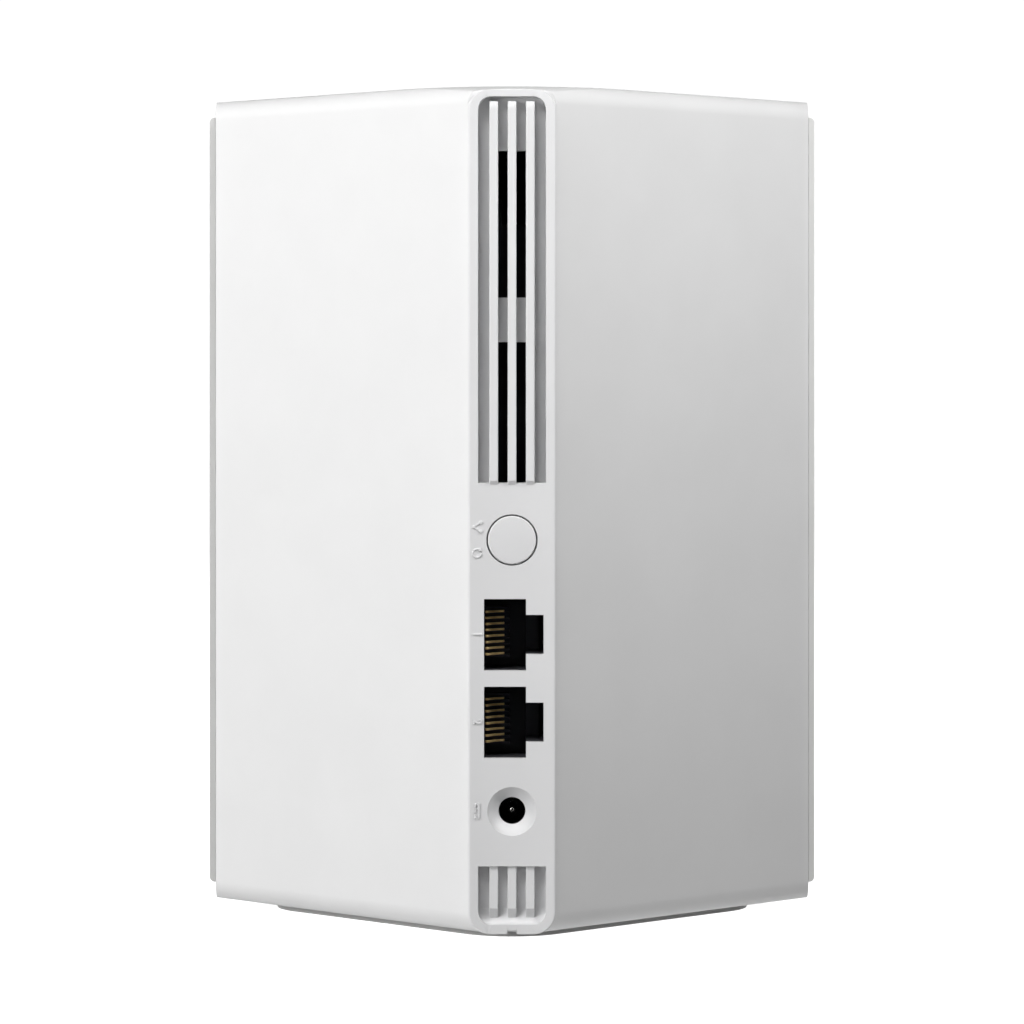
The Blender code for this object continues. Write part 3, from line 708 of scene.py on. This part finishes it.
def io_panel():
    """The rear strip: its vents, button hole and socket openings, and the plug behind it."""
    body = strip_plate("io_panel", -1, TRIM_FLAT)
    combine(body, "DIFFERENCE", dish_cutter("dish", -1, TRIM_FLAT))
    backing = UPPER_VENT_FLOOR - VENT_FLOOR_THICKNESS
    plug_back, plug_front = PLUG_DEPTHS
    lower_split, upper_split = PLUG_SPLITS
    combine(
        body, "UNION",
        strip_plug("lower_vent_back", (-plug_front, -plug_back), PLUG_LOW, lower_split, (-1,)),
        box("panel_plug", (-PLUG_HALF_WIDTH, -plug_front, lower_split - 0.5),
            (PLUG_HALF_WIDTH, -STRIP_BACK, upper_split + 0.5)),
        strip_plug("upper_vent_back", (-plug_front, -backing), upper_split, SLOT_HIGH - GAP, (1,)),
    )
    combine(
        body, "DIFFERENCE",
        vent_pocket("upper_vent_pocket", UPPER_VENT, UPPER_VENT_FLOOR, 1),
        vent_pocket("lower_vent_pocket", LOWER_VENT, LOWER_VENT_FLOOR, -1),
    )
    combine(body, "UNION", lower_vent_cove())
    soften(body, 0.25, segments=4)
    baked(body)
    inner, outer = RIB_WIDTH / 2 - 0.1, RIB_PITCH - RIB_WIDTH / 2 + 0.1
    back, front = WINDOW_CUT
    for row, (low, high) in enumerate(VENT_WINDOWS):
        combine(
            body, "DIFFERENCE",
            box(f"vent_window_{row}_left", (-outer, -front, low), (-inner, -back, high)),
            box(f"vent_window_{row}_right", (inner, -front, low), (outer, -back, high)),
        )
    left, right, plug_low, plug_high = PLUG_SPACE
    latch, latch_low, latch_high = LATCH_SPACE
    for port in PORTS:
        height = node_middle(port).z
        combine(
            body, "DIFFERENCE",
            box(port + "_cutout", (left, -OUTSIDE, height + plug_low),
                (right, -BEHIND_STRIP, height + plug_high)),
            box(port + "_latch_cutout", (right - 0.5, -OUTSIDE, height + latch_low),
                (latch, -BEHIND_STRIP, height + latch_high)),
        )
    notch, notch_floor, notch_low, notch_high = PRY_NOTCH
    combine(
        body, "DIFFERENCE",
        rod("button_hole", (0, -OUTSIDE, BUTTON_HEIGHT), (0, -BEHIND_STRIP, BUTTON_HEIGHT),
            BUTTON_HOLE),
        power_bowl(),
        box("pry_notch", (-notch, -OUTSIDE, notch_low), (notch, -notch_floor, notch_high)),
    )
    soften(body, 0.1)
    finish_piece(body, WHITE_STRIP, "strip_white", "rear_io_panel")


def vent_rib(name, middle, heights, depths, foot, top_round):
    """One rib across a vent, with a rounded top and a sloped foot."""
    low, high = heights
    floor, face = depths
    foot_depth, foot_slope = foot
    depth, height = top_round
    root = -floor + 0.3
    outline = [(root, low), (-face + foot_depth, low), (-face, low + foot_slope)]
    for step in range(9):
        turn = math.radians(75.0 * step / 8)
        outline.append((-face + depth * (1 - math.cos(turn)), high + height * (math.sin(turn) - 1)))
    outline.append((root, high))
    bm = prism_mesh(outline, middle - RIB_WIDTH / 2, middle + RIB_WIDTH / 2)
    across = Vector((1, 0, 0))
    edges = [edge for edge in bm.edges if all(vert.co.y < -floor for vert in edge.verts)
             and (edge.verts[0].co - edge.verts[1].co).cross(across).length > NEAR]
    round_off(bm, edges, 0.17, 3)
    finish_piece(raw_object(name, bm), WHITE_STRIP, "strip_white")


def vent_ribs():
    for number in (-1, 0, 1):
        middle = number * RIB_PITCH
        vent_rib(f"upper_vent_rib_{number + 2}", middle, UPPER_RIB,
                 (UPPER_VENT_FLOOR, RIB_FACE), UPPER_RIB_FOOT, UPPER_RIB_ROUND)
        vent_rib(f"lower_vent_rib_{number + 2}", middle, LOWER_RIB,
                 (LOWER_VENT_FLOOR, LOWER_RIB_FACE), LOWER_RIB_FOOT, LOWER_RIB_ROUND)


def front_strip():
    """The front strip: plain, with a hole for the status light."""
    body = strip_plate("front_strip", 1, RIB_FACE)
    combine(body, "DIFFERENCE", dish_cutter("front_dish", 1, RIB_FACE))
    combine(body, "UNION", strip_plug("front_plug", PLUG_DEPTHS, PLUG_LOW, SLOT_HIGH - GAP, (-1, 1)))
    hole = rod("light_hole", (0, 48, LED_HEIGHT), (0, OUTSIDE, LED_HEIGHT), LIGHT_HOLE)
    combine(body, "DIFFERENCE", hole)
    soften(body, 0.13)
    finish_piece(body, WHITE_STRIP, "strip_white", "front_trim_strip")


# ------------------------------------------------------------------ raised signs

def sign_piece(name, bm):
    """Slopes the upper edges of a raised sign, as a moulded sign has them, and finishes it."""
    bm.normal_update()
    top = min(vert.co.y for vert in bm.verts)
    rim = [edge for edge in bm.edges if all(vert.co.y < top + NEAR for vert in edge.verts)
           and edge.calc_face_angle(0.0) > math.radians(40.0)]
    round_off(bm, rim, SIGN_SLOPE, 2)
    finish_piece(raw_object(name, bm), WHITE_STRIP, "strip_white")


def numeral(name, text, height, middle_z):
    """A raised numeral that reads from the side, with its top to the right."""
    curve = bpy.data.curves.new(name, "FONT")
    curve.body = text
    curve.size = height / FIGURE_HEIGHT * MM
    curve.align_x = "CENTER"
    curve.align_y = "CENTER"
    curve.extrude = (SYMBOL_PROUD - NUMERAL_SLOPE) * MM
    curve.bevel_depth = NUMERAL_SLOPE * MM
    curve.bevel_resolution = 1
    curve.offset = -0.02 * MM
    curve.resolution_u = 4
    maker = bpy.data.objects.new(name + "_curve", curve)
    tools.objects.link(maker)
    bpy.context.view_layer.update()
    graph = bpy.context.evaluated_depsgraph_get()
    mesh = bpy.data.meshes.new_from_object(maker.evaluated_get(graph))
    bpy.data.objects.remove(maker, do_unlink=True)
    bm = bmesh.new()
    bm.from_mesh(mesh)
    bpy.data.meshes.remove(mesh)
    bmesh.ops.remove_doubles(bm, verts=bm.verts, dist=0.000001)
    bmesh.ops.scale(bm, vec=(1 / MM, 1 / MM, 1 / MM), verts=bm.verts)
    upright = Matrix.Rotation(math.radians(90.0), 3, "X")
    sideways = Matrix.Rotation(math.radians(-90.0), 3, "Z")
    bmesh.ops.rotate(bm, verts=bm.verts, cent=(0, 0, 0), matrix=upright @ sideways)
    place = (SYMBOL_COLUMN, strip_face(SYMBOL_COLUMN), middle_z)
    bmesh.ops.translate(bm, vec=place, verts=bm.verts)
    finish_piece(raw_object(name, bm), WHITE_STRIP, "strip_white")


def absorb(bm, part):
    """Adds a part's faces to a bmesh and frees the part."""
    mesh = bpy.data.meshes.new("part")
    part.to_mesh(mesh)
    part.free()
    bm.from_mesh(mesh)
    bpy.data.meshes.remove(mesh)


def dash(bm, x, middle_z, half_length):
    """A raised upright bar."""
    face = strip_face(x)
    half_width = 0.12
    absorb(bm, box_mesh((x - half_width, face - SYMBOL_PROUD, middle_z - half_length),
                        (x + half_width, face + SYMBOL_ROOT, middle_z + half_length)))


def supply_sign(middle_z):
    """The usual sign for direct current: a line beside three dashes."""
    bm = bmesh.new()
    apart, pitch = 0.3, 0.95
    dash(bm, SYMBOL_COLUMN + apart, middle_z, 1.3)
    for number in (-1, 0, 1):
        dash(bm, SYMBOL_COLUMN - apart, middle_z + number * pitch, 0.3)
    sign_piece("direct_current_sign", bm)


def arc_band(bm, x, z, radius, width, start, end):
    """A flat raised arc about (x, z), from one angle to another, in degrees."""
    root, face = strip_face(x) + SYMBOL_ROOT, strip_face(x) - SYMBOL_PROUD
    inner, outer = radius - width / 2, radius + width / 2
    steps = 28
    rings = []
    for step in range(steps + 1):
        angle = math.radians(start + (end - start) * step / steps)
        ring = []
        for reach, y in ((inner, root), (outer, root), (outer, face), (inner, face)):
            ring.append(bm.verts.new((x + reach * math.cos(angle), y, z + reach * math.sin(angle))))
        rings.append(ring)
    skin(bm, rings)


def reset_sign(middle_z):
    """An open ring with an arrowhead, the usual sign for starting again."""
    bm = bmesh.new()
    radius, width, opening = 0.7, 0.26, 60.0
    arc_band(bm, SYMBOL_COLUMN, middle_z, radius, width, opening, 350.0)
    face = strip_face(SYMBOL_COLUMN)
    angle = math.radians(opening)
    tip = Vector((math.sin(angle), -math.cos(angle))) * 0.5
    side = Vector((math.cos(angle), math.sin(angle))) * 0.4
    root = Vector((radius * math.cos(angle), radius * math.sin(angle)))
    corners = (root + side, root - side, root + tip)
    levels = []
    for y in (face + SYMBOL_ROOT, face - SYMBOL_PROUD):
        levels.append([bm.verts.new((SYMBOL_COLUMN + c.x, y, middle_z + c.y)) for c in corners])
    skin(bm, levels)
    bmesh.ops.recalc_face_normals(bm, faces=bm.faces)
    sign_piece("restart_sign", bm)


def linked_stations_sign(middle_z):
    """Three round stations, one of them joined to the other two by lines."""
    bm = bmesh.new()
    face = strip_face(SYMBOL_COLUMN)
    top, root = face - SYMBOL_PROUD, face + SYMBOL_ROOT
    disc_radius = 0.3
    line_drop, line_half_width = 0.05, 0.09
    spots = ((-0.6, 0.0), (0.6, 0.75), (0.6, -0.75))
    for spot_x, spot_z in spots:
        disc = turned([(AXIS, top), (disc_radius, top), (disc_radius, root), (AXIS, root)], steps=32)
        bmesh.ops.translate(disc, vec=(SYMBOL_COLUMN + spot_x, 0, middle_z + spot_z), verts=disc.verts)
        absorb(bm, disc)
    for spot_x, spot_z in spots[1:]:
        run = Vector((spot_x - spots[0][0], 0, spot_z - spots[0][1]))
        line = box_mesh((-run.length / 2, top + line_drop, -line_half_width),
                        (run.length / 2, root, line_half_width))
        bmesh.ops.rotate(line, verts=line.verts, cent=(0, face, 0),
                         matrix=Vector((1, 0, 0)).rotation_difference(run).to_matrix())
        centre = (SYMBOL_COLUMN + (spot_x + spots[0][0]) / 2, 0, middle_z + (spot_z + spots[0][1]) / 2)
        bmesh.ops.translate(line, vec=centre, verts=line.verts)
        absorb(bm, line)
    sign_piece("linked_stations_sign", bm)


# ------------------------------------------------------------------ button

def button_cap():
    """A shallow dome with a round rim, its flange, and the stem that reaches the switch."""
    crown = BUTTON_BOX[0].y - 0.02
    rim_start = BUTTON_BOX[0].y + 0.07
    flange_front = -STRIP_BACK + 0.4
    flat_radius = BUTTON_RADIUS - BUTTON_RIM
    profile = [(AXIS, crown)]
    for step in range(1, 13):
        radius = flat_radius * step / 12
        profile.append((radius, crown + 0.10 * (radius / BUTTON_RADIUS) ** 2))
    for step in range(1, 9):
        turn = math.radians(90.0 * step / 8)
        profile.append((flat_radius + BUTTON_RIM * math.sin(turn),
                        rim_start + BUTTON_RIM * (1 - math.cos(turn))))
    profile += [(BUTTON_RADIUS, flange_front), (BUTTON_FLANGE, flange_front),
                (BUTTON_FLANGE, -BUTTON_FLANGE_BACK), (AXIS, -BUTTON_FLANGE_BACK)]
    bm = turned(profile)
    bmesh.ops.translate(bm, vec=(0, 0, BUTTON_HEIGHT), verts=bm.verts)
    body = raw_object("reset_cap", bm)
    plunger = node_middle("reset_switch_plunger")
    stem = box("reset_stem", (plunger.x - 1.1, -51.2, BUTTON_HEIGHT - 1.3),
               (plunger.x + 1.1, BUTTON_BOX[1].y, BUTTON_HEIGHT + 1.3))
    combine(body, "UNION", stem)
    finish_piece(body, WHITE_STRIP, "strip_white", "reset_button", body="button")


# ------------------------------------------------------------------ sockets

def network_jack(name, node):
    """The jack's housing with its plug space, and the comb of teeth behind the contacts."""
    low, high = node_box(node)
    middle = (low.z + high.z) / 2
    left, right, plug_low, plug_high = PLUG_SPACE
    latch, latch_low, latch_high = LATCH_SPACE
    body = box(name, low, high)
    combine(
        body, "DIFFERENCE",
        box(name + "_plug_space", (left, -OUTSIDE, middle + plug_low),
            (right, -JACK_FLOOR, middle + plug_high)),
        box(name + "_latch_space", (right - 0.5, -OUTSIDE, middle + latch_low),
            (latch - 0.75, -LATCH_FLOOR, middle + latch_high)),
        box(name + "_latch_slot", (latch - 0.8, -OUTSIDE, middle + latch_low),
            (latch, -LATCH_SLOT_FLOOR, middle + latch_high)),
    )
    soften(body, 0.1)
    finish_piece(body, JACK_PLASTIC, "socket_black", node)
    tooth_half_width = 0.16
    for number in range(9):
        z = middle + (number - 4) * CONTACT_PITCH
        tooth = box_mesh((left - 0.2, -46.2, z - tooth_half_width), (-0.4, -43.0, z + tooth_half_width))
        bevel_edges(tooth, (0, 0, 1), 0.12, 2)
        finish_piece(raw_object(f"{name}_comb_{number + 1}", tooth), JACK_PLASTIC, "socket_black")


def contact_spring(name, node):
    """A flat wire that comes up out of the jack's floor at the front and arcs back to the comb."""
    middle = node_middle(node)
    half_width, half_thickness = 0.19, 0.13
    path = [(-4.45, -49.5), (-4.42, -50.0), (-4.3, -50.2), (-4.12, -50.15)]
    end_x, end_y, steps = -1.5, -47.3, 12
    start_x, start_y = path[-1]
    for step in range(1, steps + 1):
        t = step / steps
        rise = 1 - (1 - t) ** 1.7
        path.append((start_x + (end_x - start_x) * t, start_y + (end_y - start_y) * rise))
    path.append((end_x + 0.1, end_y + 0.5))
    bm = bmesh.new()
    rings = []
    for i, (x, y) in enumerate(path):
        before = Vector(path[max(i - 1, 0)])
        after = Vector(path[min(i + 1, len(path) - 1)])
        run = (after - before).normalized()
        side = Vector((-run.y, run.x)) * half_thickness
        ring = []
        for across, along in ((-1, -1), (1, -1), (1, 1), (-1, 1)):
            ring.append(bm.verts.new((x + side.x * across, y + side.y * across,
                                      middle.z + along * half_width)))
        rings.append(ring)
    skin(bm, rings)
    bmesh.ops.recalc_face_normals(bm, faces=bm.faces)
    long_edges = [edge for edge in bm.edges
                  if abs(edge.verts[0].co.z - edge.verts[1].co.z) < 0.001]
    round_off(bm, long_edges, 0.05, 2)
    finish_piece(raw_object(name, bm), GOLD, "contact_gold", node)


def power_socket():
    """The power socket's body with its bore, and the pin with its round tip."""
    low, high = POWER_BOX
    body = box("power_socket", low, high)
    z = POWER_HEIGHT
    combine(
        body, "DIFFERENCE",
        rod("power_bore", (0, -53, z), (0, -41.6, z), SOCKET_BORE),
        rod("power_mouth", (0, low.y - 0.1, z), (0, low.y + 0.6, z), 3.0, end_radius=SOCKET_BORE),
        rod("pin_hole", (0, -42, z), (0, -36, z), 0.9, steps=32),
        box("leaf_slot", (1.5, -49.5, z - 1.3), (3.4, -39.5, z + 1.3)),
    )
    soften(body, 0.12)
    finish_piece(body, SOCKET_PLASTIC, "socket_black", "dc_jack_body")
    pin_low, pin_high = node_box("dc_jack_pin")
    radius = (pin_high.x - pin_low.x) / 2
    profile = [(AXIS, pin_low.y)]
    for step in range(1, 9):
        turn = math.radians(90.0 * step / 8)
        profile.append((radius * math.sin(turn), pin_low.y + radius * (1 - math.cos(turn))))
    profile += [(radius, pin_high.y), (AXIS, pin_high.y)]
    bm = turned(profile, steps=40)
    bmesh.ops.translate(bm, vec=(0, 0, z), verts=bm.verts)
    finish_piece(raw_object("power_pin", bm), PIN_NICKEL, "steel", "dc_jack_pin")


# ------------------------------------------------------------------ base and light

def rest_pad():
    """The soft pad under the base: a square on its corner with wide round corners."""
    low, high = PAD_BOX
    corner = 11.0
    reach = high.x + corner * (SQRT2 - 1)
    body = diamond("rest_pad", reach, corner, low.z, high.z, corner_steps=16)
    soften(body, 0.18, segments=3, angle=50.0)
    finish_piece(body, PAD_RUBBER, "pad_rubber", "foot_pad")


def light_lens():
    """The clear guide that leads the status light to the front strip."""
    low, high = node_box("light_pipe")
    body = box("light_guide", (low.x, low.y, LED_HEIGHT - 1.4), (1.4, 49.8, LED_HEIGHT + 1.4))
    end = rod("light_guide_end", (0, 48.5, LED_HEIGHT), (0, high.y, LED_HEIGHT), LIGHT_GUIDE,
              steps=48)
    combine(body, "UNION", end)
    soften(body, 0.12)
    finish_piece(body, CLEAR, "clear_plastic", "light_pipe")


casing_half("rear_casing", "rear_shell", -1)
casing_half("front_casing", "front_shell", 1)
trim_bar("trim_bar_left", "side_bar_left", -1)
trim_bar("trim_bar_right", "side_bar_right", 1)
io_panel()
vent_ribs()
front_strip()
for port_number, port_node in enumerate(PORTS, 1):
    port_middle = node_middle(port_node).z
    network_jack(f"network_jack_{port_number}", port_node)
    numeral(f"port_numeral_{port_number}", str(port_number), NUMERAL_HEIGHT, port_middle)
    for row_place in range(1, 9):
        contact_spring(f"contact_spring_{port_number}_{row_place}",
                       f"port_{port_number}_contact_{row_place}")
supply_sign(POWER_HEIGHT + 0.1)
reset_sign(BUTTON_HEIGHT - SIGN_OFFSET)
linked_stations_sign(BUTTON_HEIGHT + SIGN_OFFSET)
button_cap()
power_socket()
rest_pad()
light_lens()


# ------------------------------------------------------------------ stage, lights and camera

LOOK_AT = (0.0, 0.0, 0.08)
LIGHTS = {                              # place, width, height and watts
    "left_face": ((-0.50, -0.45, 0.20), 0.3, 0.3, 2.27),
    "left_side": ((-1.2, 0.1, 0.5), 0.8, 0.8, 6.69),
    "left_high": ((-0.50, -0.42, 0.45), 0.25, 0.25, 0.29),
    "above_strip": ((-0.16, -0.40, 0.50), 0.2, 0.15, 1.15),
    "right_face": ((0.70, -0.60, 0.35), 0.3, 0.3, 0.64),
    "right_close": ((0.17, -0.17, 0.24), 0.1, 0.1, 0.43),
    "light_table": ((0.0, -0.03, -0.35), 0.5, 0.5, 1.31),
    "front_left": ((-0.9, 1.1, 0.12), 0.5, 0.5, 7.0),
    "front_right": ((0.9, 1.1, 0.12), 0.5, 0.5, 5.0),
}
HORIZON = 0.15                          # half the band over which the ground fades into the sky
SKY = 0.01
GROUND = 0.01                           # just below the horizon
BELOW = 0.05                            # added straight below, as a lit table top gives


def stage():
    """A wide white table top that doesn't light or shade the tower."""
    bm = bmesh.new()
    bmesh.ops.create_grid(bm, x_segments=1, y_segments=1, size=4000.0)
    floor = raw_object("studio_floor", bm)
    floor.location.z = -0.0001
    material, nodes, links, shader = new_material("pale_floor")
    cloud = noise(nodes, links, 400.0)
    pale = two_tone(nodes, links, cloud, (0.90, 0.90, 0.90), (0.92, 0.92, 0.92))
    links.new(pale, shader.inputs["Base Color"])
    shader.inputs["Roughness"].default_value = 0.9
    shader.inputs["Specular IOR Level"].default_value = 0.1
    shader.inputs["Emission Color"].default_value = (1.0, 1.0, 1.0, 1.0)
    shader.inputs["Emission Strength"].default_value = 1.0
    floor.data.materials.append(material)
    floor.visible_diffuse = False
    floor.visible_glossy = False
    floor.visible_shadow = False


def world():
    """White for the camera, and for all else a dim dome that is brighter straight below."""
    scene_world = bpy.data.worlds.new("studio")
    bpy.context.scene.world = scene_world
    scene_world.use_nodes = True
    nodes, links = scene_world.node_tree.nodes, scene_world.node_tree.links
    nodes.clear()
    output = nodes.new("ShaderNodeOutputWorld")
    seen = nodes.new("ShaderNodeBackground")
    seen.inputs["Color"].default_value = (1.0, 1.0, 1.0, 1.0)
    seen.inputs["Strength"].default_value = 1.05
    lighting = nodes.new("ShaderNodeBackground")
    place = nodes.new("ShaderNodeTexCoord")
    axes = nodes.new("ShaderNodeSeparateXYZ")
    links.new(place.outputs["Generated"], axes.inputs["Vector"])
    height = axes.outputs["Z"]
    total = nodes.new("ShaderNodeMath")
    links.new(map_range(nodes, links, height, -HORIZON, HORIZON, GROUND, SKY), total.inputs[0])
    links.new(map_range(nodes, links, height, -1.0, -HORIZON, BELOW, 0.0), total.inputs[1])
    links.new(total.outputs["Value"], lighting.inputs["Strength"])
    path = nodes.new("ShaderNodeLightPath")
    mix = nodes.new("ShaderNodeMixShader")
    links.new(path.outputs["Is Camera Ray"], mix.inputs["Fac"])
    links.new(lighting.outputs["Background"], mix.inputs[1])
    links.new(seen.outputs["Background"], mix.inputs[2])
    links.new(mix.outputs["Shader"], output.inputs["Surface"])


def lights():
    """Rectangular lamps that all face the tower's middle."""
    for name, (position, width, height, watts) in LIGHTS.items():
        data = bpy.data.lights.new(name, "AREA")
        data.shape = "RECTANGLE"
        data.size = width
        data.size_y = height
        data.energy = watts
        lamp = bpy.data.objects.new(name, data)
        lamp.location = position
        lamp.visible_camera = False
        aim = Vector(LOOK_AT) - Vector(position)
        lamp.rotation_euler = aim.to_track_quat("-Z", "Y").to_euler()
        bpy.context.scene.collection.objects.link(lamp)


def camera():
    """Level with the tower's upper half, square on to the rear corner, with the view shifted down."""
    data = bpy.data.cameras.new("camera")
    data.sensor_width = 36.0
    data.lens = 149.2
    data.shift_y = -0.127
    data.clip_start = 0.01
    data.clip_end = 20.0
    eye = bpy.data.objects.new("camera", data)
    eye.location = (0.0, -0.765, 0.0945)
    eye.rotation_euler = (math.radians(90.0), 0.0, 0.0)
    bpy.context.scene.collection.objects.link(eye)
    bpy.context.scene.camera = eye


stage()
world()
lights()
camera()
bpy.context.scene.view_settings.view_transform = "Standard"
